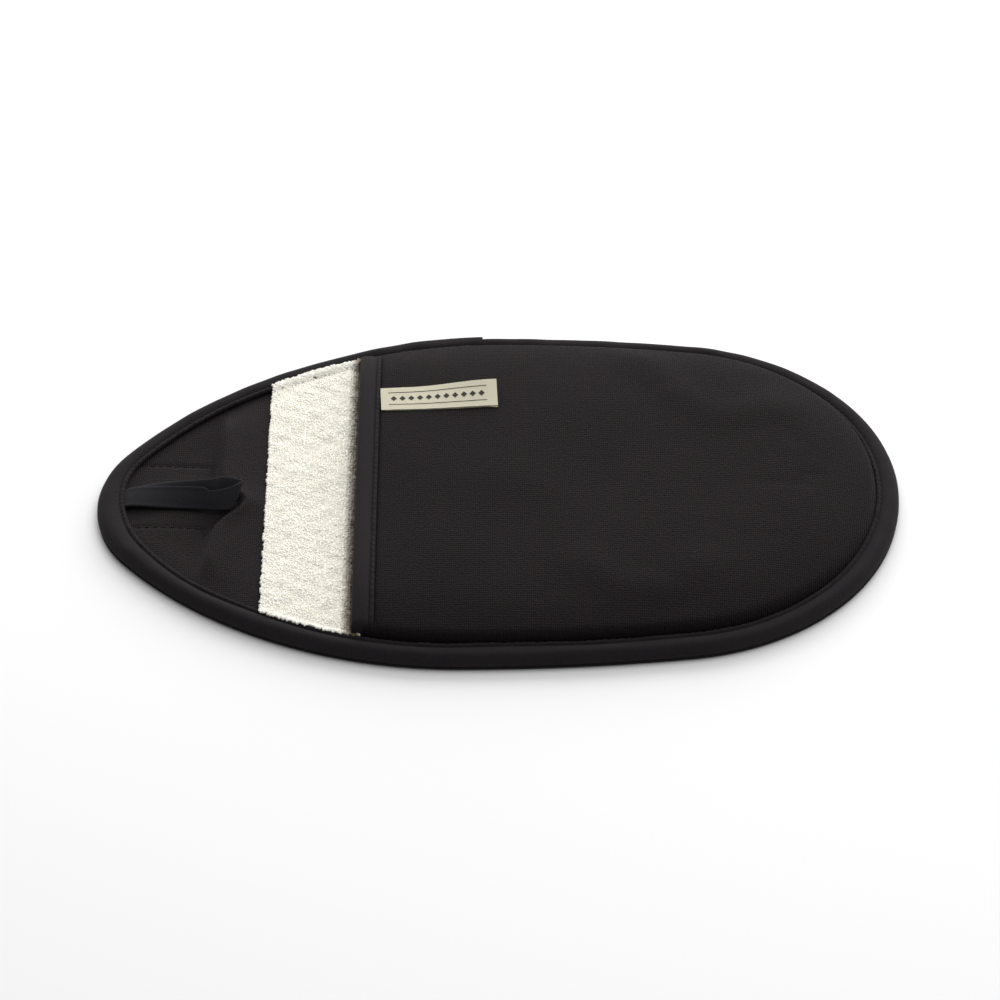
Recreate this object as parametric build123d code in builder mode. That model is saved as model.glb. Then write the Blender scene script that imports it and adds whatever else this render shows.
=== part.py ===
from build123d import *
import math
import os

# Padded pot mitt: a flat padded back pad with a hand pocket over its broad half, a binding tape
# round the whole edge, and a hanging loop at the narrow end. Millimetres, +X towards the broad
# end, +Z up. The origin is on the table, under the middle of the outline.

# Outline
length = 305.6
width = 191.0
nose_radius = 48.1
far_side_radius = 543.0
near_side_radius = 648.0
nose_shift = -5.6
end_shift = 3.2
far_widest_from_tip = 154.2
near_widest_from_tip = 137.8

# Cloth layers of the back pad, from the table up
tape = 1.0
outer_cloth = 0.8
base_fill = 2.5
terry_cloth = 1.2
facing_cloth = 0.8
patch_cloth = 0.4
belly_run = 4.0

# Edge binding
flange = 8.0
lap_length = 20.0
lap_end_from_tip = 146.3
lap_layer = 0.8

# Pocket
mouth_from_tip = 98.6
mouth_flange = 8.0
pocket_fill = 1.5
pocket_rise = 9.5
pocket_slope_run = 20.0

# Seams, patch, label
facing_from_tip = 64.9
patch_from_tip = 15.3
patch_length = 28.0
patch_width = 36.8
patch_centre_y = -1.3
patch_corner = 2.0
label_length = 46.0
label_width = 14.0
label_cloth = 0.9
label_tilt = 2.6
label_corner_y = 37.0

# Hanging loop
loop_length = 45.0
loop_centre_y = -2.8
loop_width = 11.4
loop_tape = 2.4
loop_height = 9.0
root_length = 14.0
root_cloth = 1.5
root_margin = 2.7

# Thread and clearances
stitch_length = 2.6
stitch_pitch = 4.0
thread = 0.35
edge_stitch_margin = 1.5
mouth_stitch_margin = 1.2
mouth_end_margin = 6.5
patch_stitch_margin = 1.2
loop_margin = 2.2
gap = 0.3

tip_x = -length / 2
end_x = length / 2
mouth_x = tip_x + mouth_from_tip
facing_x = tip_x + facing_from_tip
lap_x = tip_x + lap_end_from_tip
fill_z = tape + outer_cloth
lining_z = fill_z + base_fill
pad_z = lining_z + terry_cloth
edge_z = pad_z + tape
pocket_z = pad_z + gap
pocket_inset = flange + gap
pocket_slope = math.atan2(pocket_rise, pocket_slope_run)
pocket_cloth = outer_cloth + pocket_fill + terry_cloth
hollow_rise = pocket_rise - pocket_cloth
loop_x = tip_x + flange + root_margin
# Larger than the whole part, for boxes that only cut along one direction
beyond = 2 * max(length, width)


def side_arcs(side, inset):
    """The four arcs of one long side, from the tip to the broad end, as centre, radius, from, to.

    side is 1 for +Y and -1 for -Y. Each quarter is a short-radius and a long-radius arc with a
    common tangent. The long arc's top is the widest point. The tip's radius and the broad half's
    long radius are given, and the other radius of each quarter follows from them.
    """
    if side > 0:
        widest_x, side_radius = tip_x + far_widest_from_tip, far_side_radius
    else:
        widest_x, side_radius = tip_x + near_widest_from_tip, near_side_radius
    arcs = []
    for way, run, shift in ((-1, widest_x - tip_x, nose_shift), (1, end_x - widest_x, end_shift)):
        rise = width / 2 - side * shift
        if way < 0:
            short_radius = nose_radius
            long_radius = (run**2 + rise**2 - 2 * run * short_radius) / (2 * (rise - short_radius))
        else:
            long_radius = side_radius
            short_radius = (2 * long_radius * rise - run**2 - rise**2) / (2 * (long_radius - run))
        short_x = widest_x + way * (run - short_radius)
        long_y = width / 2 - long_radius
        turn = math.degrees(math.atan2(side * shift - long_y, short_x - widest_x))
        short = ((short_x, shift), short_radius - inset, 90 - way * 90, turn)
        long = ((widest_x, side * long_y), long_radius - inset, turn, 90)
        arcs += [short, long] if way < 0 else [long, short]
    return arcs


def outline(inset, height=0):
    """The mitt's outline, brought in by inset, as a face at the given height."""
    with BuildSketch(Plane.XY.offset(height)) as face:
        with BuildLine():
            for side in (1, -1):
                for centre, radius, first, last in side_arcs(side, inset):
                    CenterArc(centre, radius, side * first, side * (last - first))
        make_face()
    return face.sketch


def slab(inset, low, high, mode=Mode.ADD):
    """A plate with the mitt's outline, between two heights."""
    extrude(outline(inset, low), amount=high - low, mode=mode)


def dish(low_inset, low, high_inset, high, mode=Mode.ADD):
    """A plate whose outline changes evenly from one height to the other."""
    loft([outline(low_inset, low), outline(high_inset, high)], ruled=True, mode=mode)


def pocket_dome(outward, mode=Mode.ADD):
    """The space under the pocket's outer face, with that face moved outward by a distance."""
    low_inset = pocket_inset - outward / math.sin(pocket_slope)
    high = pocket_z + pocket_rise + outward
    high_inset = low_inset + (high - pocket_z) / math.tan(pocket_slope)
    dish(low_inset, pocket_z, high_inset, high, mode)


def keep_between(low_x, high_x):
    """Keeps only the stretch of the part between two stations along the mitt."""
    with Locations(((low_x + high_x) / 2, 0, 0)):
        Box(high_x - low_x, beyond, beyond, mode=Mode.INTERSECT)


def pocket_layer(outside, inside):
    """One cloth or fill layer of the pocket, between two distances under its outer face."""
    pocket_dome(-outside)
    pocket_dome(-inside, Mode.SUBTRACT)
    keep_between(mouth_x + tape, end_x)


def finish(piece, name):
    """Labels a finished piece and writes its file."""
    piece.part.label = name
    export_step(piece.part, f"parts/{name}.step")


os.makedirs("parts", exist_ok=True)

# Back pad: the outer cloth bellies down to the table inside the binding, and the fill follows it.
with BuildPart() as base_outer_panel:
    slab(tape, tape, fill_z)
    dish(pocket_inset + belly_run, 0, pocket_inset, tape)
    dish(pocket_inset + belly_run, outer_cloth, pocket_inset, fill_z, Mode.SUBTRACT)
finish(base_outer_panel, "base_outer_panel")

with BuildPart() as base_wadding:
    slab(tape, fill_z, lining_z)
    dish(pocket_inset + belly_run, outer_cloth, pocket_inset, fill_z)
finish(base_wadding, "base_wadding")

with BuildPart() as base_terry_lining:
    slab(tape, lining_z, pad_z)
    keep_between(facing_x, end_x)
finish(base_terry_lining, "base_terry_lining")

# The cuff facing continues the terry towards the tip. A stiffening patch lies under it where the
# loop is, and thin fill makes up the height round the patch.
patch_centre = (tip_x + patch_from_tip + patch_length / 2, patch_centre_y)

with BuildPart() as cuff_facing:
    slab(tape, pad_z - facing_cloth, pad_z)
    keep_between(tip_x, facing_x)
finish(cuff_facing, "cuff_facing")

with BuildPart() as loop_backing_patch:
    with BuildSketch(Plane.XY.offset(lining_z)):
        with Locations(patch_centre):
            RectangleRounded(patch_length, patch_width, patch_corner)
    extrude(amount=patch_cloth)
finish(loop_backing_patch, "loop_backing_patch")

with BuildPart() as patch_stitches:
    with BuildSketch(Plane.XY.offset(pad_z)):
        for turn, run, offset_from_centre in (
            (0, patch_length, patch_width / 2),
            (90, patch_width, patch_length / 2),
        ):
            count = int(run / stitch_pitch)
            with Locations(Location((*patch_centre, 0), (0, 0, turn))):
                for way in (1, -1):
                    with Locations((0, way * (offset_from_centre - patch_stitch_margin))):
                        with GridLocations(stitch_pitch, 1, count - 1, 1):
                            SlotOverall(stitch_length, 2 * thread)
        # No stitches under the loop
        with Locations((loop_x + loop_length / 2, loop_centre_y)):
            Rectangle(loop_length + 2 * loop_margin, loop_width + 2 * loop_margin, mode=Mode.SUBTRACT)
    extrude(amount=thread / 2)
finish(patch_stitches, "patch_stitches")

# Edge binding: a folded tape round the pad's edge. Its free end laps over its start on the +Y side.
with BuildPart() as edge_binding:
    slab(0, 0, edge_z)
    slab(flange, 0, edge_z, Mode.SUBTRACT)
    slab(tape, tape, pad_z, Mode.SUBTRACT)
    with BuildSketch(Plane.XY.offset(edge_z)):
        add(outline(0))
        add(outline(flange), mode=Mode.SUBTRACT)
        with Locations((lap_x - lap_length / 2, width / 2)):
            Rectangle(lap_length, width, mode=Mode.INTERSECT)
    extrude(amount=lap_layer)
finish(edge_binding, "edge_binding")

seam = outline(flange - edge_stitch_margin).wire()
stitch_count = int(seam.length / stitch_pitch)
lap_places = []
plain_places = []
for number in range(stitch_count):
    share = number / stitch_count
    place = seam.position_at(share)
    location = Location((place.X, place.Y, 0), (0, 0, seam.tangent_angle_at(share)))
    from_lap_middle = abs(place.X - lap_x + lap_length / 2) if place.Y > 0 else length
    if from_lap_middle < lap_length / 2 - stitch_length / 2:
        lap_places.append(location)
    elif from_lap_middle > lap_length / 2 + stitch_length / 2:
        plain_places.append(location)

with BuildPart() as edge_binding_stitches:
    for places, height in ((plain_places, edge_z), (lap_places, edge_z + lap_layer)):
        with BuildSketch(Plane.XY.offset(height)):
            with Locations(*places):
                SlotOverall(stitch_length, 2 * thread)
        extrude(amount=thread)
finish(edge_binding_stitches, "edge_binding_stitches")

# Pocket: outer cloth, fill and terry lining, domed over the hand space and open at the mouth.
with BuildPart() as pocket_outer_panel:
    pocket_layer(0, outer_cloth)
finish(pocket_outer_panel, "pocket_outer_panel")

with BuildPart() as pocket_wadding:
    pocket_layer(outer_cloth, outer_cloth + pocket_fill)
finish(pocket_wadding, "pocket_wadding")

with BuildPart() as pocket_terry_lining:
    pocket_layer(outer_cloth + pocket_fill, pocket_cloth)
finish(pocket_terry_lining, "pocket_terry_lining")

with BuildPart() as mouth_binding:
    pocket_dome(tape)
    pocket_dome(-pocket_cloth - tape, Mode.SUBTRACT)
    keep_between(mouth_x, mouth_x + mouth_flange)
    with BuildPart(mode=Mode.PRIVATE) as pocket_body:
        pocket_layer(0, pocket_cloth)
    add(pocket_body.part, mode=Mode.SUBTRACT)
    slab(pocket_inset, pocket_z, pocket_z + 2 * pocket_rise, Mode.INTERSECT)
finish(mouth_binding, "mouth_binding")

mouth_stitches = int((width - 2 * flange - 2 * mouth_end_margin) / stitch_pitch)
with BuildPart() as mouth_binding_stitches:
    with BuildSketch():
        with Locations((mouth_x + mouth_flange - mouth_stitch_margin, 0)):
            with GridLocations(1, stitch_pitch, 1, mouth_stitches):
                SlotOverall(stitch_length, 2 * thread, rotation=90)
    extrude(amount=pocket_z + 2 * pocket_rise)
    pocket_dome(tape + thread, Mode.INTERSECT)
    pocket_dome(tape, Mode.SUBTRACT)
    slab(pocket_inset + gap, pocket_z, pocket_z + 2 * pocket_rise, Mode.INTERSECT)
finish(mouth_binding_stitches, "mouth_binding_stitches")

# Label: a folded ribbon, caught by the mouth binding's seam at its -X end.
label_x = mouth_x + mouth_flange
with BuildPart() as woven_label:
    with BuildSketch(Plane.XY.offset(pocket_z + pocket_rise)):
        with Locations(Location((label_x, label_corner_y, 0), (0, 0, label_tilt))):
            Rectangle(2 * label_length, label_width, align=(Align.CENTER, Align.MIN))
        with Locations((label_x, label_corner_y)):
            Rectangle(label_length, beyond, align=(Align.MIN, Align.CENTER), mode=Mode.INTERSECT)
    extrude(amount=label_cloth)
finish(woven_label, "woven_label")

# Hanging loop: a tape doubled into a hairpin. Its ends lie flat at the edge of the pad, and the
# rest stands on edge. The pivot is at the ends, above the binding's height.
with BuildPart() as hanging_loop:
    with BuildSketch(Plane.XY.offset(pocket_z)):
        with Locations((loop_x, loop_centre_y)):
            Rectangle(root_length, loop_width, align=(Align.MIN, Align.CENTER))
    extrude(amount=root_cloth)
    with BuildSketch(Plane.XY.offset(pocket_z)):
        with Locations((loop_x + loop_length - loop_width / 2, loop_centre_y)):
            Circle(loop_width / 2)
            Rectangle(loop_length - root_length - loop_width / 2, loop_width,
                      align=(Align.MAX, Align.CENTER))
            Circle(loop_width / 2 - loop_tape, mode=Mode.SUBTRACT)
            Rectangle(loop_length - root_length - loop_width / 2, loop_width - 2 * loop_tape,
                      align=(Align.MAX, Align.CENTER), mode=Mode.SUBTRACT)
    extrude(amount=loop_height)
finish(hanging_loop, "hanging_loop")
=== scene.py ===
import bmesh
import bpy
import math
import numpy as np
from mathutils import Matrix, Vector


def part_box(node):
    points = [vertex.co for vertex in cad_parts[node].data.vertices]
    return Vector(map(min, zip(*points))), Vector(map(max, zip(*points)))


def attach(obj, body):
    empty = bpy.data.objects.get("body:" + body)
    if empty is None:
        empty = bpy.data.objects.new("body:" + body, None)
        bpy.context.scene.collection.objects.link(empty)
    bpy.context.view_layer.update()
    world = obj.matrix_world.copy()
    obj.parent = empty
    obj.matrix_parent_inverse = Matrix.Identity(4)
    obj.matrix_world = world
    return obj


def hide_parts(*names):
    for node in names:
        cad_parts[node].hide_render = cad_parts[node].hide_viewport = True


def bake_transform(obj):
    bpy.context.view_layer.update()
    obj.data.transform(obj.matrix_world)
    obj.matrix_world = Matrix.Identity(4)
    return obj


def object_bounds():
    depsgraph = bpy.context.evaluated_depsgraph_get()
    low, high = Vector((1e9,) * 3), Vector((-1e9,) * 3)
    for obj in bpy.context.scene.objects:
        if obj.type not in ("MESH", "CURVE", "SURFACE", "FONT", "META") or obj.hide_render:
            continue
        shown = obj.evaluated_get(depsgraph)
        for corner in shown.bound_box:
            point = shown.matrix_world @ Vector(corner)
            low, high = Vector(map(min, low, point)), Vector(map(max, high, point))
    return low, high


MM = 0.001

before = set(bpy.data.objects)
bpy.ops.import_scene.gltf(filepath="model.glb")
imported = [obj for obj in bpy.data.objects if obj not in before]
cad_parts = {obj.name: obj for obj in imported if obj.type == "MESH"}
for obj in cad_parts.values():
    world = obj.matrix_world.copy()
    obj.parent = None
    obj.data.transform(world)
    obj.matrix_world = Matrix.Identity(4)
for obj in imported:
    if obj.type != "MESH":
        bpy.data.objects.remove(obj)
cad_low, cad_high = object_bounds()


# ---------------------------------------------------------------------------
# Sizes, in metres. Places come from the CAD nodes' boxes.

NOSE_RADIUS = 48.1 * MM
SIDE_RADIUS = {1: 543.0 * MM, -1: 648.0 * MM}
NOSE_SHIFT = -5.6 * MM
END_SHIFT = 3.2 * MM
WIDEST_FROM_TIP = {1: 154.2 * MM, -1: 137.8 * MM}

TAPE = 1.0 * MM
FLANGE = 8.0 * MM
TUCK = 7.0 * MM
CLOTH = 0.8 * MM
LABEL_TILT = math.radians(2.6)
STITCH_PITCH = 3.0 * MM

# points nearer than this are one point: an edge of no length stops the cloth solver, with no message
JOIN_DISTANCE = 0.001 * MM
SIM_PITCH = 5 * MM
SIM_FRAMES = 24
MOST_LIFT = 1.2 * MM
LEAST_LIFT = 0.05 * MM

tip_x = cad_low.x
end_x = cad_high.x
half_width = (cad_high.y - cad_low.y) / 2
pad_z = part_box("base_terry_lining")[1].z
edge_z = pad_z + TAPE
facing_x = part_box("base_terry_lining")[0].x
mouth_low, mouth_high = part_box("mouth_binding")
mouth_x = mouth_low.x
mouth_flange = mouth_high.x - mouth_low.x
plateau_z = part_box("pocket_outer_panel")[1].z
pocket_thick = 3.5 * MM
label_low, label_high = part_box("woven_label")
label_width = 14.0 * MM
loop_low, loop_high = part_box("hanging_loop")
patch_low, patch_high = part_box("loop_backing_patch")
lap_x = -6.5 * MM
lap_length = 20.0 * MM
crease_x = patch_high.x + 2.5 * MM


# ---------------------------------------------------------------------------
# Curves and small number helpers

def smooth(low, high, value):
    """0 below low, 1 above high, and an even S-curve between."""
    t = np.clip((value - low) / (high - low), 0, 1)
    return t * t * (3 - 2 * t)


def waves(x, y, size, seed, count=9):
    """A smooth random field, about -1 to 1, whose bumps are about size across."""
    rng = np.random.default_rng(seed)
    total = np.zeros(np.broadcast(x, y).shape)
    for _ in range(count):
        turn = rng.uniform(0, 2 * math.pi)
        pace = 2 * math.pi / (size * rng.uniform(1.3, 3.2))
        start = rng.uniform(0, 2 * math.pi)
        total += np.sin(pace * (x * math.cos(turn) + y * math.sin(turn)) + start)
    return total / math.sqrt(count)


def outline_arcs():
    """The outline as arcs (centre x, centre y, radius, first angle, last angle), clockwise from the
    tip: along +Y to the broad end and back along -Y."""
    sides = {}
    for side in (1, -1):
        widest_x = tip_x + WIDEST_FROM_TIP[side]
        arcs = []
        for way, run, shift in ((-1, widest_x - tip_x, NOSE_SHIFT), (1, end_x - widest_x, END_SHIFT)):
            rise = half_width - side * shift
            if way < 0:
                short = NOSE_RADIUS
                long = (run**2 + rise**2 - 2 * run * short) / (2 * (rise - short))
            else:
                long = SIDE_RADIUS[side]
                short = (2 * long * rise - run**2 - rise**2) / (2 * (long - run))
            short_x = widest_x + way * (run - short)
            long_y = half_width - long
            turn = math.atan2(side * shift - long_y, short_x - widest_x)
            outward = math.pi / 2 * (1 - way)
            pair = [(short_x, shift, short, side * outward, side * turn),
                    (widest_x, side * long_y, long, side * turn, side * math.pi / 2)]
            if way > 0:
                pair = [(cx, cy, radius, last, first) for cx, cy, radius, first, last in pair[::-1]]
            arcs += pair
        sides[side] = arcs
    back = [(cx, cy, radius, last, first) for cx, cy, radius, first, last in sides[-1][::-1]]
    return np.array(sides[1] + back)


ARCS = outline_arcs()
ARC_ENDS = np.concatenate([[0], np.cumsum(ARCS[:, 2] * np.abs(ARCS[:, 4] - ARCS[:, 3]))])
AROUND = ARC_ENDS[-1]


def on_outline(along, inset):
    """Points at a length along the outline and a distance inside it, and their outward normals."""
    along = np.mod(along, AROUND)
    which = np.clip(np.searchsorted(ARC_ENDS, along, side="right") - 1, 0, len(ARCS) - 1)
    cx, cy, radius, first, last = ARCS[which].T
    angle = first + (along - ARC_ENDS[which]) / radius * np.sign(last - first)
    normal = np.stack([np.cos(angle), np.sin(angle)], -1)
    return np.stack([cx, cy], -1) + (radius - inset)[..., None] * normal, normal


def inset_of(x, y):
    """How far inside the outline each point is, and the outward normal there."""
    best = np.full(x.shape, 1e9)
    normal = np.zeros(x.shape + (2,))
    for cx, cy, radius, first, last in ARCS:
        dx, dy = x - cx, y - cy
        away = np.hypot(dx, dy)
        turn = np.arctan2(dy, dx)
        low, high = min(first, last) - 1e-3, max(first, last) + 1e-3
        inside = np.zeros(x.shape, bool)
        for lap in (-2 * math.pi, 0, 2 * math.pi):
            inside |= (turn + lap >= low) & (turn + lap <= high)
        closer = inside & (radius - away < best)
        best = np.where(closer, radius - away, best)
        normal[closer] = np.stack([dx, dy], -1)[closer] / away[closer][:, None]
    return best, normal


# ---------------------------------------------------------------------------
# Meshes

def link_mesh(name, points, faces, material, sharp=50):
    """A smooth-shaded mesh object that stays sharp where its faces meet at more than an angle."""
    mesh = bpy.data.meshes.new(name)
    mesh.from_pydata(np.asarray(points, float).tolist(), [], [list(map(int, face)) for face in faces])
    box_mesh = bmesh.new()
    box_mesh.from_mesh(mesh)
    bmesh.ops.remove_doubles(box_mesh, verts=box_mesh.verts, dist=JOIN_DISTANCE)
    bmesh.ops.dissolve_degenerate(box_mesh, edges=box_mesh.edges, dist=JOIN_DISTANCE)
    bmesh.ops.recalc_face_normals(box_mesh, faces=box_mesh.faces)
    box_mesh.to_mesh(mesh)
    box_mesh.free()
    mesh.polygons.foreach_set("use_smooth", np.ones(len(mesh.polygons), bool))
    mesh.set_sharp_from_angle(angle=math.radians(sharp))
    piece = bpy.data.objects.new(name, mesh)
    bpy.context.scene.collection.objects.link(piece)
    mesh.materials.append(material)
    return piece


class Plan:
    """A grid of square cells over part of the mitt's plan. It ends at the largest of the insets given,
    and rings of cells go on from there to the other insets, down to the smallest."""

    def __init__(self, low_x, high_x, pitch, insets, low_y=-1.0, high_y=1.0, more_x=()):
        margin = insets[0]
        xs = np.linspace(low_x, high_x, round((high_x - low_x) / pitch) + 1)
        clear = [x for x in xs if not len(more_x) or min(abs(x - more) for more in more_x) > pitch / 4]
        xs = np.sort(np.append(clear, more_x))
        rows = math.ceil(half_width / pitch)
        ys = np.arange(-rows, rows + 1) * pitch
        ys = ys[(ys > low_y - pitch / 2) & (ys < high_y + pitch / 2)]
        x, y = np.meshgrid(xs, ys, indexing="ij")
        inset, _ = inset_of(x, y)
        near_enough = inset > margin - 0.6 * pitch
        cells = near_enough[:-1, :-1] & near_enough[1:, :-1] & near_enough[1:, 1:] & near_enough[:-1, 1:]
        number = np.arange(x.size).reshape(x.shape)
        quads = np.stack([number[:-1, :-1], number[1:, :-1], number[1:, 1:], number[:-1, 1:]], -1)[cells]
        used, quads = np.unique(quads, return_inverse=True)
        self.quads = quads.reshape(-1, 4)
        self.x, self.y = x.ravel()[used], y.ravel()[used]
        straight_x = (np.abs(self.x - low_x) < MM / 10) | (np.abs(self.x - high_x) < MM / 10)
        straight_y = (np.abs(self.y - low_y) < MM / 10) | (np.abs(self.y - high_y) < MM / 10)
        edges = self.rim()
        rim = np.zeros(len(self.x), bool)
        rim[edges] = True
        inset, normal = inset_of(self.x, self.y)
        curved = rim & ((inset < margin + pitch) | ~(straight_x | straight_y))
        way = np.where(straight_x[:, None], np.stack([0 * self.y, np.sign(self.y)], -1), normal)
        way = np.where(straight_y[:, None], np.stack([np.sign(self.x), 0 * self.x], -1), way)
        reach = np.maximum(np.sum(way * normal, -1), 0.3)
        for _ in range(3):
            inset, _ = inset_of(self.x, self.y)
            short = np.where(curved, (inset - margin) / reach, 0)
            self.x = self.x + way[:, 0] * short
            self.y = self.y + way[:, 1] * short
        last = np.arange(len(self.x))
        sewn = edges[curved[edges[:, 0]] & curved[edges[:, 1]]]
        ring = np.unique(sewn)
        for before, after in zip(insets[:-1], insets[1:]):
            step = (before - after) / reach[ring]
            start = len(self.x)
            self.x = np.append(self.x, self.x[last[ring]] + way[ring, 0] * step)
            self.y = np.append(self.y, self.y[last[ring]] + way[ring, 1] * step)
            following = last.copy()
            following[ring] = start + np.arange(len(ring))
            strip = np.stack([last[sewn[:, 1]], last[sewn[:, 0]], following[sewn[:, 0]],
                              following[sewn[:, 1]]], -1)
            self.quads = np.vstack([self.quads, strip])
            last = following
        self.inset, _ = inset_of(self.x, self.y)

    def rim(self):
        """The edges that have a cell on one side only, in the cells' direction."""
        edges = np.vstack([self.quads[:, [i, (i + 1) % 4]] for i in range(4)])
        _, first, count = np.unique(np.sort(edges, 1), axis=0, return_index=True, return_counts=True)
        return edges[first[count == 1]]

    def shell(self, name, top, bottom, material):
        """A closed piece between two heights over the plan."""
        count = len(self.x)
        points = np.vstack([np.stack([self.x, self.y, top], -1), np.stack([self.x, self.y, bottom], -1)])
        edges = self.rim()
        walls = np.stack([edges[:, 1], edges[:, 0], edges[:, 0] + count, edges[:, 1] + count], -1)
        faces = np.vstack([self.quads, self.quads[:, ::-1] + count, walls])
        return link_mesh(name, points, faces, material, sharp=80)


def tube(name, rings, material, closed=False, sharp=50):
    """A surface through closed rings of points, with end caps unless it closes on itself."""
    count, size, _ = rings.shape
    faces = []
    for station in range(count if closed else count - 1):
        here = station * size
        there = (station + 1) % count * size
        for side in range(size):
            after = (side + 1) % size
            faces.append((here + side, here + after, there + after, there + side))
    if not closed:
        faces.append(list(range(size)))
        faces.append([(count - 1) * size + side for side in range(size)])
    return link_mesh(name, rings.reshape(-1, 3), faces, material, sharp)


def threads(name, centres, along, up, length, material, radius=0.28 * MM):
    """Stitches: short arched lengths of thread, one at each centre."""
    sides, stations = 6, 5
    share = np.linspace(-1, 1, stations)
    thick = radius * np.sqrt(1 - 0.75 * share**2)
    arch = radius * (0.55 - 1.1 * share**2)
    turn = np.arange(sides) * 2 * math.pi / sides
    across = np.cross(up, along)
    points = (centres[:, None, None]
              + along[:, None, None] * (share * length / 2)[None, :, None, None]
              + across[:, None, None] * (thick[:, None] * np.cos(turn))[None, :, :, None]
              + up[:, None, None] * (arch[:, None] + thick[:, None] * np.sin(turn))[None, :, :, None])
    template = []
    for station in range(stations - 1):
        for side in range(sides):
            after = (side + 1) % sides
            template.append((station * sides + side, station * sides + after,
                             (station + 1) * sides + after, (station + 1) * sides + side))
    template = np.array(template)
    starts = np.arange(len(centres)) * sides * stations
    quads = (template[None] + starts[:, None, None]).reshape(-1, 4)
    caps = [[start + side for side in range(sides)] for start in starts]
    caps += [[start + (stations - 1) * sides + side for side in range(sides)] for start in starts]
    return link_mesh(name, points.reshape(-1, 3), quads.tolist() + caps, material)


def unit(vectors):
    return vectors / np.linalg.norm(vectors, axis=-1, keepdims=True)


# ---------------------------------------------------------------------------
# Materials

class Nodes:
    """A node material with short ways to add and join nodes."""

    def __init__(self, name, roughness, sheen=0.0, specular=0.3):
        self.material = bpy.data.materials.new(name)
        self.material.use_nodes = True
        self.tree = self.material.node_tree
        self.shader = self.tree.nodes["Principled BSDF"]
        self.shader.inputs["Roughness"].default_value = roughness
        self.shader.inputs["Specular IOR Level"].default_value = specular
        self.shader.inputs["Sheen Weight"].default_value = sheen
        self.shader.inputs["Sheen Roughness"].default_value = 0.45
        self.place = self.add("ShaderNodeTexCoord").outputs["Object"]

    def add(self, kind, links=(), **values):
        node = self.tree.nodes.new(kind)
        for key, value in values.items():
            setattr(node, key, value)
        for socket, source in dict(links).items():
            self.put(node.inputs[socket], source)
        return node

    def put(self, socket, source):
        if hasattr(source, "links"):
            self.tree.links.new(source, socket)
        else:
            socket.default_value = source

    def math(self, operation, a, b=0.0):
        return self.add("ShaderNodeMath", {0: a, 1: b}, operation=operation).outputs[0]

    def noise(self, size, detail=2.0):
        found = self.add("ShaderNodeTexNoise", {"Vector": self.place, "Scale": 1 / size, "Detail": detail})
        return found.outputs["Fac"]

    def ribs(self, pitch, direction, distortion=0.0):
        found = self.add("ShaderNodeTexWave", {"Vector": self.place, "Scale": math.pi / 10 / pitch,
                                               "Distortion": distortion, "Detail": 1.0,
                                               "Detail Scale": 0.3},
                         bands_direction=direction)
        return found.outputs["Fac"]

    def colour(self, dark, light, share):
        mix = self.add("ShaderNodeMix", data_type="RGBA")
        self.put(mix.inputs[0], share)
        self.put(mix.inputs[6], (*dark, 1))
        self.put(mix.inputs[7], (*light, 1))
        self.put(self.shader.inputs["Base Color"], mix.outputs[2])

    def bump(self, height, distance, strength=1.0):
        found = self.add("ShaderNodeBump", {"Height": height, "Distance": distance, "Strength": strength})
        self.put(self.shader.inputs["Normal"], found.outputs[0])


def woven(name, dark, light, rib, pick, depth, roughness=0.9, sheen=0.03, rib_direction="X"):
    """Woven cloth: ribs one way, finer picks the other way, slubs and slight fading."""
    nodes = Nodes(name, roughness, sheen, specular=0.08)
    ribs = nodes.ribs(rib, rib_direction, distortion=1.2)
    picks = nodes.ribs(pick, "Y" if rib_direction == "X" else "X", distortion=1.0)
    slub = nodes.noise(0.7 * MM, 1.0)
    weave = nodes.math("ADD", nodes.math("MULTIPLY", ribs, 0.6), nodes.math("MULTIPLY", picks, 0.15))
    height = nodes.math("ADD", weave, nodes.math("MULTIPLY", slub, 1.0))
    patches = nodes.noise(30 * MM)
    share = nodes.math("ADD", nodes.math("MULTIPLY", height, 0.6), nodes.math("MULTIPLY", patches, 0.3))
    nodes.colour(dark, light, share)
    nodes.bump(height, depth)
    return nodes.material


def terry_material(name):
    """Looped cotton pile. Its colour is painted dark brown in a ragged band along the pocket's mouth, as
    painted shade under the mouth's edge.
    """
    nodes = Nodes(name, 0.95, sheen=0.35, specular=0.05)
    nodes.shader.inputs["Subsurface Weight"].default_value = 0.15
    nodes.shader.inputs["Subsurface Radius"].default_value = (1.0, 0.9, 0.75)
    nodes.shader.inputs["Subsurface Scale"].default_value = 0.5 * MM
    curl = nodes.noise(1.1 * MM, 3.0)
    x = nodes.add("ShaderNodeSeparateXYZ", {0: nodes.place}).outputs[0]
    # painted shade: a ragged band of the pile along the pocket's mouth is mixed to dark brown, in place of
    # shade under the mouth's edge
    ragged = nodes.math("ADD", x, nodes.math("MULTIPLY", nodes.noise(2.5 * MM), 3.0 * MM))
    rise = nodes.add("ShaderNodeMapRange", {0: ragged, 1: mouth_x - 2.6 * MM, 2: mouth_x + 1.2 * MM})
    fall = nodes.add("ShaderNodeMapRange", {0: ragged, 1: mouth_x + 6 * MM, 2: mouth_x + 3 * MM})
    painted_shade = nodes.math("MULTIPLY", rise.outputs[0], fall.outputs[0])
    nodes.colour((0.97, 0.93, 0.83), (0.99, 0.96, 0.88), curl)
    mix = nodes.add("ShaderNodeMix", data_type="RGBA")
    nodes.put(mix.inputs[0], painted_shade)
    nodes.put(mix.inputs[6], nodes.shader.inputs["Base Color"].links[0].from_socket)
    # the painted shade's dark brown
    nodes.put(mix.inputs[7], (0.12, 0.075, 0.04, 1))
    nodes.put(nodes.shader.inputs["Base Color"], mix.outputs[2])
    nodes.bump(curl, 0.15 * MM)
    return nodes.material


def thread_material(name, dark, light):
    nodes = Nodes(name, 0.8, sheen=0.02, specular=0.1)
    twist = nodes.ribs(0.35 * MM, "DIAGONAL")
    nodes.colour(dark, light, twist)
    nodes.bump(twist, 0.05 * MM)
    return nodes.material


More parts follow.
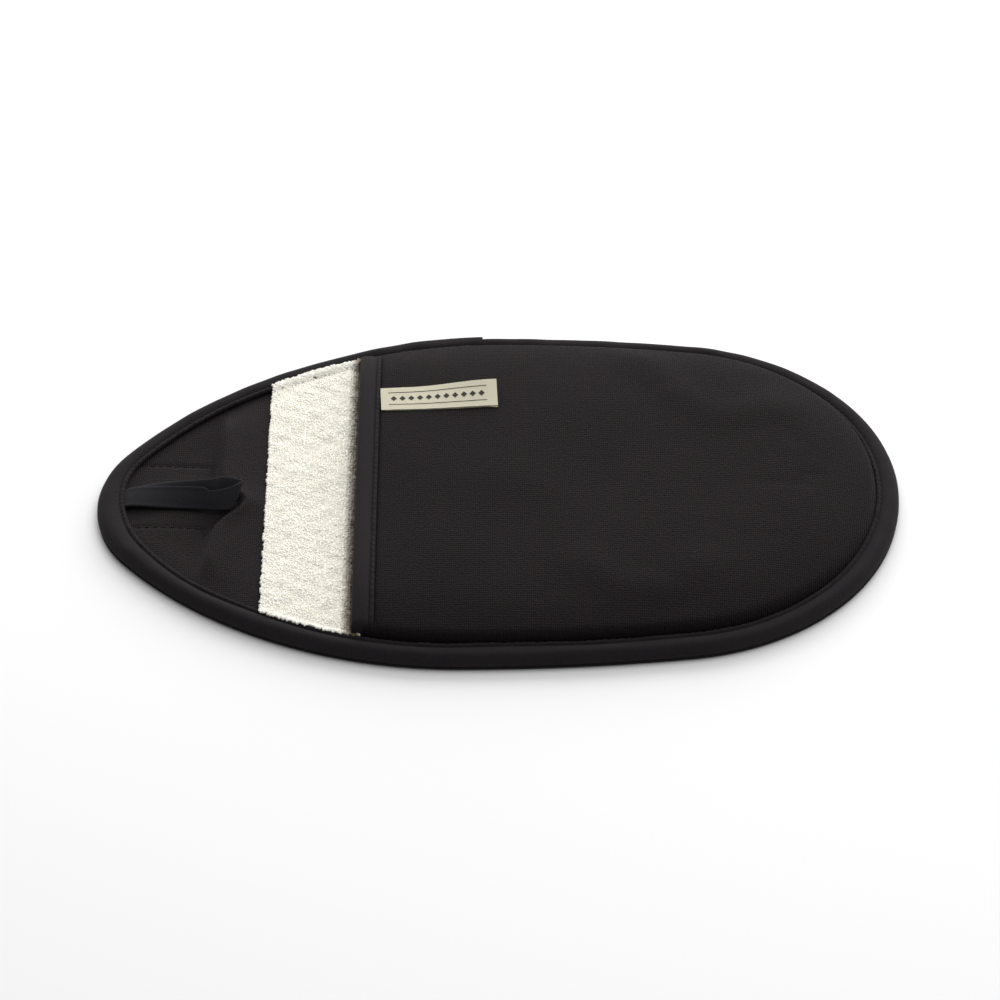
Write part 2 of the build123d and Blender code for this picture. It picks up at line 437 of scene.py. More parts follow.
def label_material(name):
    nodes = Nodes(name, 0.75, sheen=0.15, specular=0.2)
    weave = nodes.math("ADD", nodes.ribs(0.35 * MM, "X"), nodes.ribs(0.3 * MM, "Y"))
    nodes.colour((0.50, 0.47, 0.35), (0.62, 0.58, 0.45), nodes.math("MULTIPLY", weave, 0.5))
    nodes.bump(weave, 0.05 * MM)
    return nodes.material


# each cloth's rib, pick and depth of weave
TWILL = (0.8 * MM, 1.1 * MM, 0.40 * MM)
TAPE_WEAVE = (0.45 * MM, 0.4 * MM, 0.06 * MM)
OUTER = woven("outer_cloth", (0.0012, 0.0007, 0.0008), (0.0162, 0.0122, 0.0130), *TWILL)
FACING = woven("facing_cloth", (0.0012, 0.0007, 0.0008), (0.0240, 0.0190, 0.0200), *TWILL)
BINDING = woven("binding_tape", (0.007, 0.0060, 0.0066), (0.0215, 0.0185, 0.0205), *TAPE_WEAVE)
LOOP = woven("loop_tape", (0.007, 0.0066, 0.0074), (0.0240, 0.0225, 0.0255), *TAPE_WEAVE)
TERRY = terry_material("terry_pile")
THREAD = thread_material("black_thread", (0.006, 0.0055, 0.006), (0.016, 0.015, 0.016))
MOTIF = thread_material("dark_label_thread", (0.02, 0.018, 0.016), (0.06, 0.055, 0.05))
LABEL = label_material("label_ribbon")


# ---------------------------------------------------------------------------
# Heights of the soft layers

def palm_top(x, y, inset):
    """Top of the back pad's palm face: held down by the binding, slightly full inside it."""
    full = 1 - np.exp(-np.maximum(inset - FLANGE, 0) / (7 * MM))
    return pad_z - 0.9 * MM + full * (0.9 + 0.25 * waves(x, y, 22 * MM, 5)) * MM


def pocket_top(x, y, inset):
    """Top of the pocket: tucked under the binding, a steep shoulder, then a low dome."""
    inner = np.maximum(inset - FLANGE - 0.8 * MM, 0)
    shoulder = 4.9 * MM * (1 - np.exp(-inner / (0.6 * MM)))
    tucked = pad_z - 0.2 * MM
    rise = (plateau_z - tucked - 4.9 * MM) * (1 - np.exp(-((inner / (14 * MM)) ** 1.2)))
    return tucked + shoulder + rise


def pocket_bottom(x, y, inset, top):
    """Underside of the pocket: the layers are pressed together where they are sewn in."""
    thick = 0.5 * MM + (pocket_thick - 0.5 * MM) * smooth(FLANGE - 0.5 * MM, FLANGE + 6 * MM, inset)
    return np.maximum(top - thick, palm_top(x, y, inset) + 0.15 * MM)


# ---------------------------------------------------------------------------
# Cloth simulation of the pocket's outer cloth

def simulate_pocket():
    """Inflates the cloth a little, held along the rim and the mouth, and returns how far it moved up,
    as a function of the plan position."""
    pitch = SIM_PITCH
    columns = math.ceil((end_x - mouth_x) / pitch) + 1
    rows = math.ceil(half_width / pitch)
    xs, ys = mouth_x + np.arange(columns) * pitch, np.arange(-rows, rows + 1) * pitch
    x, y = np.meshgrid(xs, ys, indexing="ij")
    inset, _ = inset_of(x, y)
    inside = inset > FLANGE
    cells = inside[:-1, :-1] & inside[1:, :-1] & inside[1:, 1:] & inside[:-1, 1:]
    number = np.arange(x.size).reshape(x.shape)
    quads = np.stack([number[:-1, :-1], number[1:, :-1], number[1:, 1:], number[:-1, 1:]], -1)[cells]
    used, quads = np.unique(quads, return_inverse=True)
    start = np.stack([x, y, pocket_top(x, y, inset)], -1).reshape(-1, 3)[used]
    cloth = link_mesh("cloth_trial", start, quads.reshape(-1, 4), OUTER)
    held = (inset.ravel()[used] < FLANGE + 5 * MM) | (start[:, 0] < mouth_high.x + 1 * MM)
    group = cloth.vertex_groups.new(name="held")
    group.add(np.nonzero(held)[0].tolist(), 1.0, "REPLACE")
    modifier = cloth.modifiers.new("cloth", "CLOTH")
    settings = modifier.settings
    settings.quality = 8
    settings.mass = 0.15
    settings.tension_stiffness = 80
    settings.compression_stiffness = 80
    settings.shear_stiffness = 40
    settings.bending_stiffness = 0.4
    settings.vertex_group_mass = "held"
    settings.use_pressure = True
    settings.uniform_pressure_force = 0.5
    settings.effector_weights.gravity = 0
    modifier.collision_settings.use_collision = False
    modifier.collision_settings.use_self_collision = False
    scene = bpy.context.scene
    for number in range(1, SIM_FRAMES + 1):
        scene.frame_set(number)
    settled = cloth.evaluated_get(bpy.context.evaluated_depsgraph_get()).to_mesh()
    found = np.zeros(len(settled.vertices) * 3)
    settled.vertices.foreach_get("co", found)
    lift = found.reshape(-1, 3)[:, 2] - start[:, 2]
    scene.frame_set(1)
    bpy.data.objects.remove(cloth)
    if np.ptp(lift) < LEAST_LIFT:
        raise RuntimeError("the cloth stayed still in the simulation")
    lift = MOST_LIFT * np.tanh(lift / MOST_LIFT)
    print("cloth lift mm", np.round([lift.min() / MM, lift.max() / MM, lift.std() / MM], 2))
    field = np.zeros(x.size)
    field[used] = lift
    field = field.reshape(x.shape)

    def lift_at(px, py):
        u = (px - mouth_x) / pitch
        v = py / pitch + rows
        i = np.clip(np.floor(u).astype(int), 0, columns - 2)
        j = np.clip(np.floor(v).astype(int), 0, 2 * rows - 1)
        a = smooth(0, 1, u - i)
        b = smooth(0, 1, v - j)
        return ((field[i, j] * (1 - a) + field[i + 1, j] * a) * (1 - b)
                + (field[i, j + 1] * (1 - a) + field[i + 1, j + 1] * a) * b)

    return lift_at


pocket_lift = simulate_pocket()


RIM_INSETS = [width * MM for width in (13.0, 11.8, 11.0, 10.4, 10.0, 9.7, 9.4, 9.1, 8.8, 8.4, 7.0)]
# each fold: plan start and end, width and height, in millimetres
SOFT_FOLDS = [((48, 86), (80, 33), 9, 1.2), ((80, 33), (116, 44), 10, 1.1), ((87, 95), (104, 65), 7, 0.9),
              ((24, -46), (56, -70), 9, 0.9), ((56, -70), (80, -46), 9, 0.8),
              ((-20, 10), (20, -12), 14, 0.6)]


def fold(x, y, start, end, width, height):
    """A soft ridge in the cloth from one plan point to another."""
    start, end = np.array(start) * MM, np.array(end) * MM
    run = np.linalg.norm(end - start)
    ahead = (end - start) / run
    along = (x - start[0]) * ahead[0] + (y - start[1]) * ahead[1]
    off = (x - start[0]) * ahead[1] - (y - start[1]) * ahead[0]
    taper = smooth(-0.2 * run, 0.3 * run, along) * smooth(1.2 * run, 0.7 * run, along)
    return height * MM * taper * np.exp(-((off / (width * MM)) ** 2))


def pocket_surface(x, y):
    """Top and bottom of the pocket at plan positions."""
    inset, _ = inset_of(x, y)
    top = pocket_top(x, y, inset)
    calm = smooth(FLANGE, FLANGE + 12 * MM, inset)
    folds = sum(fold(x, y, *values) for values in SOFT_FOLDS) * smooth(0, 12 * MM, x - mouth_high.x)
    top = top + (pocket_lift(x, y) + 0.2 * MM * waves(x, y, 28 * MM, 11) + folds) * calm
    seam = 1.3 * MM * np.exp(-(((x - mouth_high.x - 0.4 * MM) / (0.45 * MM)) ** 2))
    top = top - seam * smooth(FLANGE, FLANGE + 3 * MM, inset)
    return top, pocket_bottom(x, y, inset, top)


# ---------------------------------------------------------------------------
# Back pad, terry palm and cuff facing

def back_pad():
    plan = Plan(tip_x, end_x, 3 * MM, [TUCK])
    top = palm_top(plan.x, plan.y, plan.inset) - 1.6 * MM - mouth_dip(plan.x)
    full = smooth(FLANGE, FLANGE + 16 * MM, plan.inset)
    bottom = TAPE - full * (0.75 * MM + 0.1 * MM * waves(plan.x, plan.y, 26 * MM, 3))
    piece = plan.shell("back_pad", top, bottom, OUTER)
    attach(piece, "base")
    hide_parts("base_outer_panel", "base_wadding")


def crease_line(y):
    """Where the facing steps up from the stitched patch to the padded part."""
    round_loop = 9 * MM * np.exp(-((y + 7 * MM) / (8 * MM)) ** 2)
    return crease_x + round_loop + np.where(y < -14 * MM, (y + 14 * MM) * 0.16, 0)


def facing_top(x, y, inset):
    top = palm_top(x, y, inset)
    past = x - crease_line(y)
    fade = smooth(FLANGE, FLANGE + 14 * MM, inset)
    low = smooth(26 * MM, 4 * MM, -past)
    step = 2.6 * MM * smooth(-1.5 * MM, 2.5 * MM, past) * np.exp(-np.maximum(past - 2 * MM, 0) / (8 * MM))
    valley = 0.8 * MM * np.exp(-(((past + 3 * MM) / (3.5 * MM)) ** 2))
    valley = valley * smooth(FLANGE + 4 * MM, FLANGE + 26 * MM, inset)
    top = top + fade * (step - 0.9 * MM * low * smooth(1.5 * MM, -1.5 * MM, past)) - valley
    seam = facing_x - x
    top = top - 0.5 * MM * np.exp(-seam / (0.9 * MM))
    for edge_y, way in ((patch_high.y, 1), (patch_low.y, -1)):
        off = np.abs(y - edge_y)
        inside = smooth(patch_low.x - 4 * MM, patch_low.x, x)
        inside = inside * smooth(patch_high.x + 3 * MM, patch_high.x, x)
        top = top - 0.55 * MM * inside * np.exp(-((off / (0.8 * MM)) ** 2))
        pucker = np.cos(2 * math.pi * x / STITCH_PITCH) * np.exp(-((off - 1.3 * MM) / (0.8 * MM)) ** 2)
        top = top + 0.12 * MM * inside * pucker
    return top


def facing_cloth():
    plan = Plan(tip_x, facing_x, 1.0 * MM, [TUCK])
    top = facing_top(plan.x, plan.y, plan.inset)
    piece = plan.shell("facing_cloth", top, top - CLOTH, FACING)
    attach(piece, "base")
    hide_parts("cuff_facing", "loop_backing_patch")


def patch_thread():
    rows = []
    corners = ((patch_low.x, patch_low.y), (patch_high.x, patch_low.y),
               (patch_high.x, patch_high.y), (patch_low.x, patch_high.y))
    for first, last in ((0, 1), (2, 3)):
        a, b = np.array(corners[first]), np.array(corners[last])
        run = np.linalg.norm(b - a)
        count = int(run / STITCH_PITCH)
        spots = a + (b - a) * ((np.arange(count) + 0.5) / count)[:, None]
        rows.append((spots, np.tile((b - a) / run, (count, 1))))
    spots = np.vstack([row[0] for row in rows])
    along = np.vstack([row[1] for row in rows])
    inset, _ = inset_of(spots[:, 0], spots[:, 1])
    kept = inset > FLANGE + 1.5 * MM
    spots, along, inset = spots[kept], along[kept], inset[kept]
    height = facing_top(spots[:, 0], spots[:, 1], inset)
    centres = np.column_stack([spots, height])
    along = np.column_stack([along, np.zeros(len(along))])
    up = np.tile([0.0, 0.0, 1.0], (len(spots), 1))
    piece = threads("patch_thread", centres, along, up, 2.4 * MM, THREAD)
    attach(piece, "base")
    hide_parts("patch_stitches")


def mouth_dip(x):
    """The palm is pressed down under the heavy edge of the mouth."""
    return 1.2 * MM * smooth(mouth_x - 4 * MM, mouth_x, x) * smooth(mouth_x + 16 * MM, mouth_x + 4 * MM, x)


def terry_top(x, y, inset):
    nap = 0.06 * MM * waves(x, y, 1.6 * MM, 21, 14) + 0.2 * MM * waves(x, y, 4 * MM, 22)
    held = smooth(FLANGE - 2.5 * MM, FLANGE - 0.5 * MM, inset)
    pressed = smooth(mouth_x + 3 * MM, mouth_x + 6 * MM, x)
    pressed = pressed * smooth(FLANGE + 6 * MM, FLANGE + 2 * MM, inset)
    pile = held * (1 - pressed) * (0.9 * MM + nap) - 0.3 * MM * pressed
    return palm_top(x, y, inset) + pile - mouth_dip(x)


def terry_palm():
    plan = Plan(facing_x - 0.5 * MM, end_x, 1.25 * MM, [TUCK])
    top = terry_top(plan.x, plan.y, plan.inset)
    under = palm_top(plan.x, plan.y, plan.inset) - 1.2 * MM - mouth_dip(plan.x)
    piece = plan.shell("terry_palm", top, under, TERRY)
    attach(piece, "base")
    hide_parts("base_terry_lining")


def terry_loops():
    """The pile: small standing loops of yarn over the strip of terry that shows."""
    rng = np.random.default_rng(7)
    pitch = 1.0 * MM
    xs = np.arange(facing_x - 0.3 * MM, mouth_x + 5 * MM, pitch)
    ys = np.arange(-half_width, half_width, pitch)
    x, y = (grid.ravel() for grid in np.meshgrid(xs, ys))
    y = y + 0.35 * (x - facing_x)
    x = x + rng.uniform(-0.3, 0.3, x.size) * pitch
    y = y + rng.uniform(-0.3, 0.3, x.size) * pitch
    run = np.repeat(np.arange(0, AROUND, 0.55 * MM), 4)
    spill, _ = on_outline(run, FLANGE + rng.uniform(-1.6, 1.6, run.size) * MM)
    beside = (spill[:, 0] > facing_x) & (spill[:, 0] < mouth_x - 0.5 * MM)
    beside &= (spill[:, 1] > 0) | (rng.uniform(size=run.size) < 0.4)
    x, y = np.append(x, spill[beside, 0]), np.append(y, spill[beside, 1])
    inset, _ = inset_of(x, y)
    kept = inset > FLANGE - np.where(y > 0, 1.7, 0.8) * MM
    x, y, inset = x[kept], y[kept], inset[kept]
    count = len(x)
    on_tape = smooth(FLANGE + 2.6 * MM, FLANGE - 0.2 * MM, inset)
    height = terry_top(x, y, inset) * (1 - on_tape) + (edge_z + 0.5 * MM) * on_tape
    root = np.column_stack([x, y, height - 0.3 * MM])
    turn = rng.uniform(0, 2 * math.pi, count)
    lean = rng.normal(0, 0.3, (count, 2))
    up = unit(np.column_stack([lean, np.ones(count)]))
    along = np.column_stack([np.cos(turn), np.sin(turn), np.zeros(count)])
    along = unit(along - up * np.sum(along * up, -1, keepdims=True))
    side = np.cross(up, along)
    stations, sides = 7, 5
    bend = np.linspace(0, math.pi, stations)
    width = rng.uniform(0.08, 0.20, count) * MM
    height = rng.uniform(0.35, 0.45, count) * MM
    yarn = rng.uniform(0.48, 0.62, count) * MM
    ring = np.arange(sides) * 2 * math.pi / sides
    spine = (root[:, None]
             + along[:, None] * (width[:, None] * np.cos(bend))[..., None]
             + up[:, None] * (height[:, None] * np.sin(bend))[..., None])
    out = (along[:, None] * np.cos(bend)[None, :, None] + up[:, None] * np.sin(bend)[None, :, None])
    points = (spine[:, :, None]
              + out[:, :, None] * (yarn[:, None, None] * np.cos(ring))[..., None]
              + side[:, None, None] * (yarn[:, None, None] * np.sin(ring))[..., None])
    template = []
    for station in range(stations - 1):
        for number in range(sides):
            after = (number + 1) % sides
            template.append((station * sides + number, station * sides + after,
                             (station + 1) * sides + after, (station + 1) * sides + number))
    starts = np.arange(count) * stations * sides
    quads = (np.array(template)[None] + starts[:, None, None]).reshape(-1, 4)
    piece = link_mesh("terry_loops", points.reshape(-1, 3), quads, TERRY, sharp=180)
    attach(piece, "base")


# ---------------------------------------------------------------------------
# Pocket, in a near and a far half

HALVES = {"near": -1, "far": 1}


def lift_with_pocket(piece):
    """Bakes the piece's placement into its mesh."""
    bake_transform(piece)


def pocket_half(half):
    low_y, high_y = (-1.0, 0.0) if half == "near" else (0.0, 1.0)
    seam = mouth_high.x + np.array([-0.4, 0.0, 0.25, 0.5, 0.8, 1.2]) * MM
    plan = Plan(mouth_x + 1.2 * MM, end_x, 1.8 * MM, RIM_INSETS, low_y, high_y, seam)
    top, bottom = pocket_surface(plan.x, plan.y)
    middle = bottom + np.minimum(1.2 * MM, 0.4 * (top - bottom))
    cloth = plan.shell("pocket_cloth_" + half, top, middle, OUTER)
    lift_with_pocket(cloth)
    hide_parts("pocket_outer_panel", "pocket_wadding")
    nap = 0.18 * MM * waves(plan.x, plan.y, 1.8 * MM, 31, 14)
    lining = plan.shell("pocket_lining_" + half, middle, bottom + nap, TERRY)
    lift_with_pocket(lining)
    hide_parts("pocket_terry_lining")


def mouth_section(y):
    """The folded tape's outer surface over the mouth edge, as x from the mouth and height."""
    x = np.full(y.shape, mouth_x + 4 * MM)
    top, bottom = pocket_surface(x, y)
    inset, _ = inset_of(np.full(y.shape, mouth_x), y)
    thick = 0.15 + 0.85 * smooth(FLANGE - 0.2 * MM, FLANGE + 2.5 * MM, inset)
    pucker = 0.14 * np.cos(2 * math.pi * y / STITCH_PITCH) + 0.12 * waves(y, 0 * y, 6 * MM, 47)
    middle = (top + bottom) / 2
    f = mouth_flange
    upper = [(f - 0.2 * MM, -0.6), (f + 0.1 * MM, 0.3), (f - 0.3 * MM, 0.85), (f - 0.9 * MM, 0.8),
             (f - 1.4 * MM, -0.1), (f - 1.9 * MM, 0.55), (f - 2.9 * MM, 0.85), (f * 0.5, 0.95),
             (f * 0.28, 0.9), (f * 0.12, 0.7), (f * 0.03, 0.1)]
    lower = [(f * 0.03, -0.1), (f * 0.12, -0.7), (f * 0.3, -0.9), (f * 0.6, -0.9), (f * 0.9, -0.8),
             (f, -0.4), (f, 0.4)]
    rows = []
    for place, rise in upper:
        wobble = pucker if f - 1.2 * MM < place < f + MM else 0
        rows.append(np.stack([mouth_x + place + 0 * y, y, top + (rise + wobble) * MM * thick], -1))
    rows.append(np.stack([mouth_x - 0.05 * MM + 0 * y, y, middle], -1))
    for place, rise in lower:
        rows.append(np.stack([mouth_x + place + 0 * y, y, bottom + rise * MM * thick], -1))
    return np.stack(rows, 1)


def mouth_ends():
    """Where the mouth's line meets the tuck on the near and far sides."""
    ys = np.linspace(0, half_width, 400)
    ends = {}
    for half, side in HALVES.items():
        inset, _ = inset_of(np.full(ys.shape, mouth_x), side * ys)
        ends[half] = side * ys[inset > TUCK].max()
    return ends


def mouth_half(half, end_y):
    count = int(abs(end_y) / (0.75 * MM))
    y = np.linspace(0, end_y, count)
    tape = tube("mouth_tape_" + half, mouth_section(y), BINDING)
    lift_with_pocket(tape)
    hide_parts("mouth_binding")
    y = HALVES[half] * np.arange(0.5 * STITCH_PITCH, abs(end_y) - 2.5 * MM, STITCH_PITCH)
    section = mouth_section(y)
    centres = section[:, 4] - [0, 0, 0.05 * MM]
    ahead = mouth_section(y + 0.5 * MM)[:, 4]
    along = unit(ahead - section[:, 4])
    up = unit(np.cross([1.0, 0, 0], along))
    thread = threads("mouth_thread_" + half, centres, along, up, 2.4 * MM, THREAD)
    lift_with_pocket(thread)
    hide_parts("mouth_binding_stitches")


# ---------------------------------------------------------------------------
# Edge binding

def binding_rings(along, extra):
    """Rings of the folded tape's section at lengths along the outline. extra is how much further out
    and up the tape lies, where it laps over itself."""
    centre, _ = on_outline(along, np.zeros(along.shape))
    from_tip = np.hypot(centre[:, 0] - tip_x, centre[:, 1] + 14 * MM)
    nose = np.exp(-((from_tip / (26 * MM)) ** 2))
    broad = np.exp(-((centre[:, 0] - end_x) / (30 * MM)) ** 2)
    wander = waves(along, 0 * along, 24 * MM, 41)
    width = FLANGE + 2.9 * MM * nose + 0.5 * MM * broad + 0.25 * MM * wander
    beat = np.cos(2 * math.pi * along / STITCH_PITCH)
    rough = waves(along, 0 * along, 5 * MM, 43)
    z = edge_z
    # inset and height of each point of the section, from the top inner edge round to the bottom one
    wrinkle = waves(along, 0 * along, 7 * MM, 45) * MM
    section = [
        (width - 0.1 * MM, z - 1.0 * MM),
        (width + 0.12 * MM * beat, z - 0.1 * MM),
        (width - 0.4 * MM, z + (0.34 + 0.12 * beat + 0.14 * rough) * MM),
        (width - 1.2 * MM, z + (0.30 + 0.10 * beat + 0.14 * rough) * MM),
        (width - 1.8 * MM, z - 0.5 * MM),
        (width - 2.3 * MM, z + (0.05 - 0.08 * beat) * MM),
        (width - 3.4 * MM, z + 0.30 * MM + 0.06 * wrinkle),
        (0.50 * width, z + 0.45 * MM + 0.12 * wrinkle),
        (0.34 * width, z + 0.38 * MM + 0.12 * wrinkle),
        (0.20 * width, z - 0.10 * MM + 0.10 * wrinkle),
        (0.08 * width, z - 1.20 * MM),
        (0.01 * width, z - 2.6 * MM),
        (0.00 * width, 0.40 * z),
        (0.03 * width, 0.30 * z),
        (0.10 * width, 0.24 * z),
        (0.02 * width, 0.18 * z),
        (0.03 * width, 0.08 * z),
        (0.12 * width, 0.0),
        (0.5 * width, 0.0),
        (width - 0.8 * MM, 0.0),
        (width, 0.35 * MM),
        (width, 0.9 * MM),
        (0.5 * width, 0.95 * MM),
        (0.22 * width, 1.3 * MM),
        (0.18 * width, 0.5 * z),
        (0.25 * width, z - 1.7 * MM),
        (0.5 * width, z - 1.0 * MM),
    ]
    rings = []
    for inset, height in section:
        height = height + 0 * width
        upper = smooth(0, edge_z, height)
        inset = inset - extra * np.where(inset < 0.5 * width, 1.0, 0.0) * smooth(0, 0.3 * edge_z, height)
        spot, _ = on_outline(along, inset)
        rings.append(np.column_stack([spot, height + extra * upper]))
    return np.stack(rings, 1)


def lap_place():
    """The length along the outline at which the tape's end lies."""
    along = np.linspace(0, AROUND / 2, 4000)
    spot, _ = on_outline(along, np.zeros(along.shape))
    return along[np.argmin(np.abs(spot[:, 0] - lap_x))]


LAP = lap_place()


def binding_extra(length_from_start):
    """The last stretch of the tape climbs over its first stretch."""
    left = AROUND + lap_length - length_from_start
    climb = smooth(lap_length + 40 * MM, lap_length, left)
    return 0.6 * MM * climb


def binding_tape():
    total = AROUND + lap_length
    count = int(total / (0.75 * MM))
    run = np.linspace(0, total, count)
    extra = binding_extra(run) - 0.25 * MM * smooth(lap_length, 0, run)
    rings = binding_rings(LAP - lap_length + run, extra)
    piece = tube("binding_tape", rings, BINDING, sharp=70)
    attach(piece, "base")
    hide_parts("edge_binding")
    run = np.arange(lap_length + 1.5 * MM, total - 1.5 * MM, STITCH_PITCH)
    rings = binding_rings(LAP - lap_length + run, binding_extra(run))
    ahead = binding_rings(LAP - lap_length + run + 0.5 * MM, binding_extra(run))
    centres = rings[:, 4] - [0, 0, 0.05 * MM]
    along = unit(ahead[:, 4] - rings[:, 4])
    up = np.tile([0.0, 0.0, 1.0], (len(run), 1))
    thread = threads("binding_thread", centres, along, up, 2.4 * MM, THREAD)
    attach(thread, "base")
    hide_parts("edge_binding_stitches")


# ---------------------------------------------------------------------------
# Label

def label_frame(u, v):
    """Plan position of a point on the label: u along it from the mouth seam, v across it."""
    root = np.array([mouth_high.x + 0.9 * MM, label_low.y + 0.5 * MM])
    ahead = np.array([math.cos(LABEL_TILT), math.sin(LABEL_TILT)])
    across = np.array([-math.sin(LABEL_TILT), math.cos(LABEL_TILT)])
    return root[0] + u * ahead[0] + v * across[0], root[1] + u * ahead[1] + v * across[1]


def label_height(u, v, length):
    x, y = label_frame(u, v)
    top, _ = pocket_surface(np.maximum(x, mouth_high.x + 1.6 * MM), y)
    curl = smooth(0.25 * length, length, u)
    lift = 0.55 * MM + 0.4 * MM * curl + 2.2 * MM * curl * (v / label_width) ** 1.3
    return x, y, top + lift


def label():
    length, width = label_high.x - mouth_high.x - 0.9 * MM, label_width
    thick = 0.35 * MM
    us = np.linspace(0, length, 48)
    vs = np.linspace(0, width, 16)
    layers = []
    for shift, drop in ((0.0, 0.0), (-0.55 * MM, 0.4 * MM)):
        u, v = np.meshgrid(us, vs, indexing="ij")
        x, y, z = label_height(u, v, length)
        y = y + shift * smooth(0.9 * length, length, u)
        z = z - drop * smooth(0, 0.1 * length, u)
        layers.append((x, y, z))
    for name, (x, y, z) in zip(("label_ribbon", "label_ribbon_back"), layers):
        rings = []
        for i in range(len(us)):
            upper = np.stack([x[i], y[i], z[i]], -1)
            lower = upper[::-1] - [0, 0, thick]
            rings.append(np.vstack([upper, lower]))
        piece = tube(name, np.array(rings), LABEL)
        lift_with_pocket(piece)
    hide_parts("woven_label")
    return length, width


def label_motif(length, width):
    """A plain woven motif: two border lines and a row of small diamonds."""
    shapes = []
    for v in (3.2 * MM, width - 3.2 * MM):
        for start in np.arange(3.0, 41.0, 1.0):
            a, b = start * MM, (start + 1.0) * MM
            shapes.append([(a, v - 0.14 * MM), (b, v - 0.14 * MM), (b, v + 0.14 * MM), (a, v + 0.14 * MM)])
    for centre in np.arange(5.0, 41.0, 3.4):
        c, m = centre * MM, width / 2
        shapes.append([(c - 1.2 * MM, m), (c, m - 1.5 * MM), (c + 1.2 * MM, m), (c, m + 1.5 * MM)])
    points, faces = [], []
    for shape in shapes:
        u, v = np.array(shape).T
        x, y, z = label_height(u, v, length)
        start = len(points)
        points += np.stack([x, y, z + 0.1 * MM], -1).tolist()
        points += np.stack([x, y, z - 0.1 * MM], -1).tolist()
        faces += [[start + i for i in (0, 1, 2, 3)], [start + i for i in (7, 6, 5, 4)]]
        faces += [[start + i, start + (i + 1) % 4, start + 4 + (i + 1) % 4, start + 4 + i] for i in range(4)]
    piece = link_mesh("label_motif", points, faces, MOTIF)
    lift_with_pocket(piece)


# ---------------------------------------------------------------------------
# Hanging loop

# The tape's two edges at stations from the upper strand's root round the hairpin to the lower strand's.
# Lower edge, then upper edge: share of the length, place across from the middle, height on the palm.
LOOP_STATIONS = [
    (-0.12, -6.2, -1.4, -0.12, 3.2, -1.4),
    (-0.02, -6.7, -0.5, -0.02, 3.2, -0.5),
    (0.06, -7.0, 1.3, 0.06, 3.0, 1.9),
    (0.37, -7.6, 0.8, 0.36, 1.3, 4.2),
    (0.66, -8.2, 0.7, 0.65, -1.6, 6.5),
    (0.77, -8.6, 0.7, 0.73, -3.2, 6.0),
    (0.88, -8.4, 0.7, 0.88, -2.2, 6.8),
    (0.92, -5.9, 0.7, 0.99, 0.5, 7.6),
    (0.89, -3.2, 0.7, 0.93, 2.7, 7.4),
    (0.82, -2.4, 0.7, 0.81, 3.8, 7.2),
    (0.70, -3.4, 0.6, 0.70, 2.2, 7.3),
    (0.45, -4.2, 0.4, 0.45, 3.2, 5.4),
    (0.20, -4.9, 0.5, 0.20, 4.6, 2.4),
    (0.05, -5.0, 0.1, 0.05, 4.2, 0.6),
    (-0.12, -4.8, -2.0, -0.12, 3.6, -2.0),
]


def spline(values, count):
    """Values at even steps along a smooth curve through the rows given."""
    values = np.vstack([2 * values[0] - values[1], values, 2 * values[-1] - values[-2]])
    place = np.linspace(0, len(values) - 3 - 1e-9, count)
    span = place.astype(int)
    t = (place - span)[:, None]
    a, b, c, d = (values[span + i] for i in range(4))
    return 0.5 * (2 * b + (c - a) * t + (2 * a - 5 * b + 4 * c - d) * t**2 + (3 * b - a - 3 * c + d) * t**3)


def loop_edges():
    """The lower and upper edges of the loop's tape, in metres."""
    rows = spline(np.array(LOOP_STATIONS), 110)
    root, run = loop_low.x, loop_high.x - loop_low.x
    middle = (loop_low.y + loop_high.y) / 2
    edges = []
    for first in (0, 3):
        share, across, height = rows[:, first:first + 3].T
        edges.append(np.column_stack([root + share * run, middle + across * MM, pad_z + height * MM]))
    return edges


def hanging_loop():
    lower, upper = loop_edges()
    points = (lower + upper) / 2
    across = (upper - lower) / 2
    tangents = unit(np.gradient(points, axis=0))
    outs = unit(np.cross(tangents, across))
    half, thick = 1.0, 0.65 * MM
    section = [(-half, 0.5), (-half * 0.98, 0.85), (-half * 0.85, 1.0), (-half * 0.7, 0.8),
               (-half * 0.5, 1.0),
               (0, 1.05), (half * 0.5, 1.0), (half * 0.7, 0.8), (half * 0.85, 1.0), (half * 0.98, 0.85),
               (half, 0.5), (half, -0.5), (half * 0.85, -1.0), (0, -1.0), (-half * 0.85, -1.0),
               (-half, -0.5)]
    rings = np.stack([points + across * w + outs * (t * thick) for w, t in section], 1)
    piece = tube("loop_ribbon", rings, LOOP, sharp=70)
    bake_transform(piece)
    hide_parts("hanging_loop")


# ---------------------------------------------------------------------------
# Stage

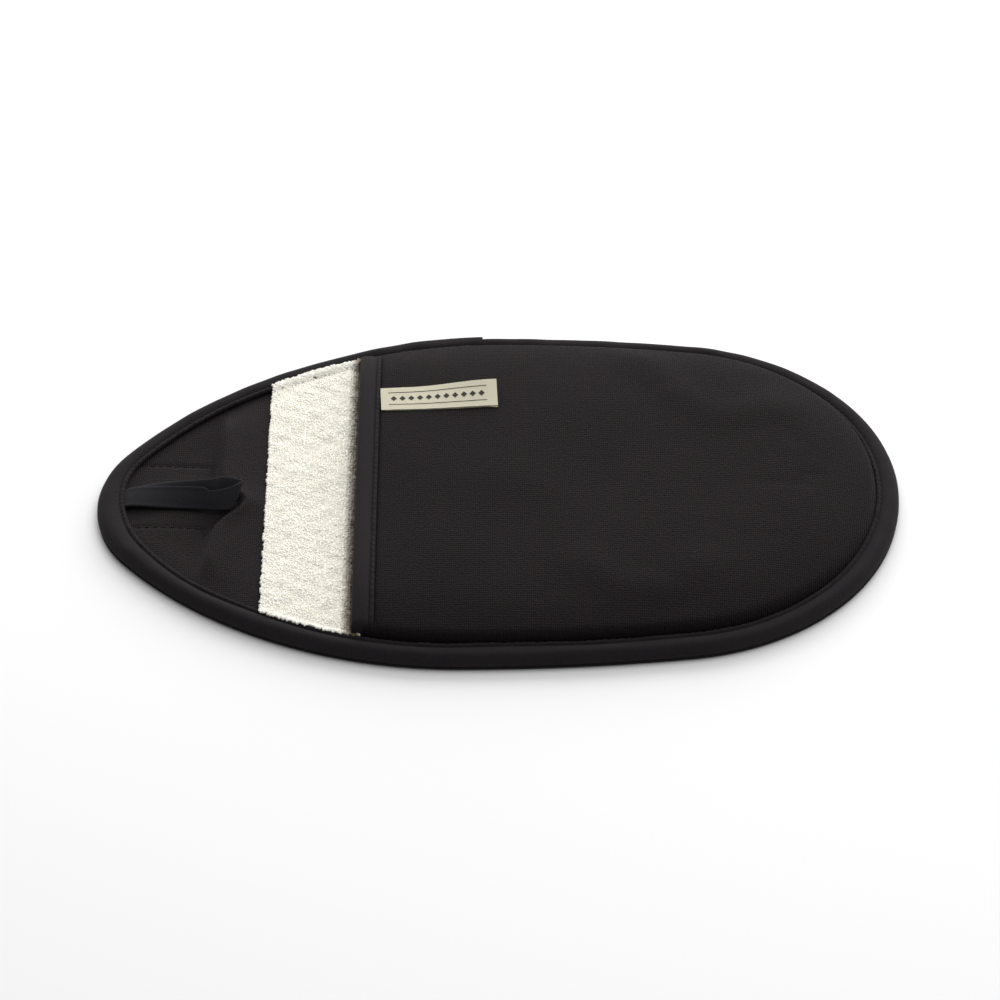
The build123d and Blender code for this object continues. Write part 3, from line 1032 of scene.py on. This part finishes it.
def stage():
    nodes = Nodes("studio_floor", 0.9, specular=0.0)
    nodes.shader.inputs["Base Color"].default_value = (0.9, 0.9, 0.9, 1)
    size = 6.0
    floor = link_mesh("floor", [(-size, -size, 0), (size, -size, 0), (size, size, 0), (-size, size, 0)],
                      [(0, 1, 2, 3)], nodes.material)
    floor.location.z = -0.05 * MM


def area_light(name, place, width, height, radiance):
    """A softbox facing the origin. Its power gives the same radiance over its whole face."""
    light = bpy.data.lights.new(name, "AREA")
    light.shape = "RECTANGLE"
    light.size = width
    light.size_y = height
    light.energy = radiance * math.pi * width * height
    holder = bpy.data.objects.new(name, light)
    bpy.context.scene.collection.objects.link(holder)
    holder.location = place
    holder.rotation_euler = (-holder.location).to_track_quat("-Z", "Y").to_euler()


def lights():
    """A lit wall behind, a softbox above and a weak even fill."""
    world = bpy.data.worlds.new("studio")
    world.use_nodes = True
    world.node_tree.nodes["Background"].inputs["Color"].default_value = (1, 1, 1, 1)
    world.node_tree.nodes["Background"].inputs["Strength"].default_value = 0.30
    bpy.context.scene.world = world
    area_light("back_wall", (0.15, 1.8, 0.9), 3.0, 1.6, 4.1)
    area_light("side_wall", (1.9, 0.2, 0.6), 1.6, 1.0, 1.3)
    area_light("top_softbox", (0.3, 0.3, 1.4), 1.3, 1.3, 2.0)


def camera():
    """Elevation 40 degrees, straight along +Y, from 1.8 m, with the origin a little under the middle
    of the picture."""
    elevation = math.radians(40)
    distance = 1.8
    lens = 169.6
    data = bpy.data.cameras.new("camera")
    data.lens = lens
    data.sensor_width = 36.0
    data.clip_end = 50
    holder = bpy.data.objects.new("camera", data)
    bpy.context.scene.collection.objects.link(holder)
    right, up = 0.50 * MM, 1.38 * MM
    holder.location = (right, -distance * math.cos(elevation) + up * math.sin(elevation),
                       distance * math.sin(elevation) + up * math.cos(elevation))
    holder.rotation_euler = (math.pi / 2 - elevation, 0, 0)
    bpy.context.scene.camera = holder
    bpy.context.scene.view_settings.view_transform = "Standard"


camera()
stage()
lights()
back_pad()
terry_palm()
terry_loops()
facing_cloth()
patch_thread()
for half_name in HALVES:
    pocket_half(half_name)
for half_name, end in mouth_ends().items():
    mouth_half(half_name, end)
binding_tape()
label_motif(*label())
hanging_loop()
